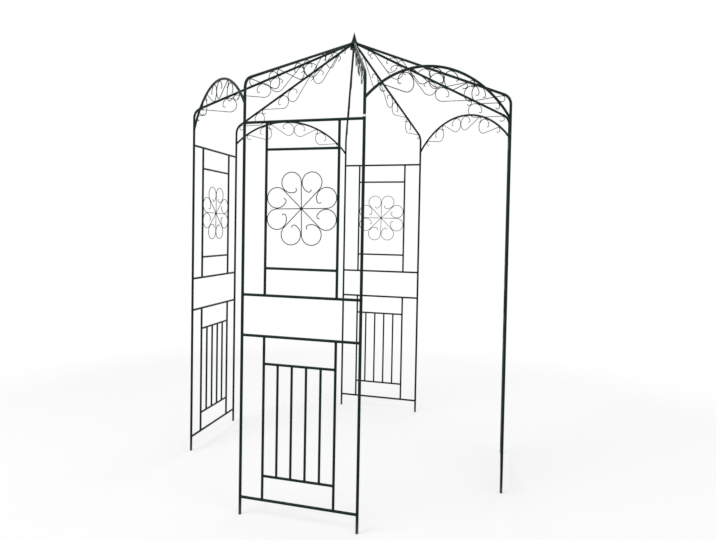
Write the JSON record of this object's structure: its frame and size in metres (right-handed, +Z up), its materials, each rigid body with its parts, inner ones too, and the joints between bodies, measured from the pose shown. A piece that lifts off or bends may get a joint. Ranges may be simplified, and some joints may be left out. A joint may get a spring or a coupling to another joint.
{
  "type": "octagonal garden pavilion",
  "caption": "Open steel-tube garden pavilion with trellis panels, arched doorways, scroll friezes and a low pointed roof frame.",
  "frame": {"origin": "on the ground at the centre of the plan", "axes": "+Z up along the roof's axis; -Y towards the front panel, +X towards the right panel"},
  "size_m": [1.9146, 1.9146, 2.6666],
  "materials": {
    "post_tube": "dark green powder coat, lightly textured",
    "rafter_tube": "dark green powder coat, lightly textured",
    "trellis_bar": "dark green powder coat, lightly textured",
    "arch_bar": "dark green powder coat, lightly textured",
    "scroll_wire": "dark green powder coat, lightly textured",
    "hub": "dark green powder coat, lightly textured",
    "finial": "dark green powder coat, lightly textured"
  },
  "bodies": {
    "root": {"front_left_post": "post_tube", "front_right_post": "post_tube", "right_front_post": "post_tube", "right_rear_post": "post_tube", "rear_right_post": "post_tube", "rear_left_post": "post_tube", "left_rear_post": "post_tube", "left_front_post": "post_tube", "front_barred_trellis": "trellis_bar", "right_barred_trellis": "trellis_bar", "rear_barred_trellis": "trellis_bar", "left_barred_trellis": "trellis_bar", "front_flower_trellis": "trellis_bar", "right_flower_trellis": "trellis_bar", "rear_flower_trellis": "trellis_bar", "left_flower_trellis": "trellis_bar", "front_left_rafter": "rafter_tube", "front_right_rafter": "rafter_tube", "right_front_rafter": "rafter_tube", "right_rear_rafter": "rafter_tube", "rear_right_rafter": "rafter_tube", "rear_left_rafter": "rafter_tube", "left_rear_rafter": "rafter_tube", "left_front_rafter": "rafter_tube", "front_left_rafter_scrolls": "scroll_wire", "front_right_rafter_scrolls": "scroll_wire", "right_front_rafter_scrolls": "scroll_wire", "right_rear_rafter_scrolls": "scroll_wire", "rear_right_rafter_scrolls": "scroll_wire", "rear_left_rafter_scrolls": "scroll_wire", "left_rear_rafter_scrolls": "scroll_wire", "left_front_rafter_scrolls": "scroll_wire", "front_right_arch": "arch_bar", "rear_right_arch": "arch_bar", "rear_left_arch": "arch_bar", "front_left_arch": "arch_bar", "front_right_arch_scrolls": "scroll_wire", "rear_right_arch_scrolls": "scroll_wire", "rear_left_arch_scrolls": "scroll_wire", "front_left_arch_scrolls": "scroll_wire", "roof_hub": "hub", "finial": "finial"}
  },
  "joints": []
}
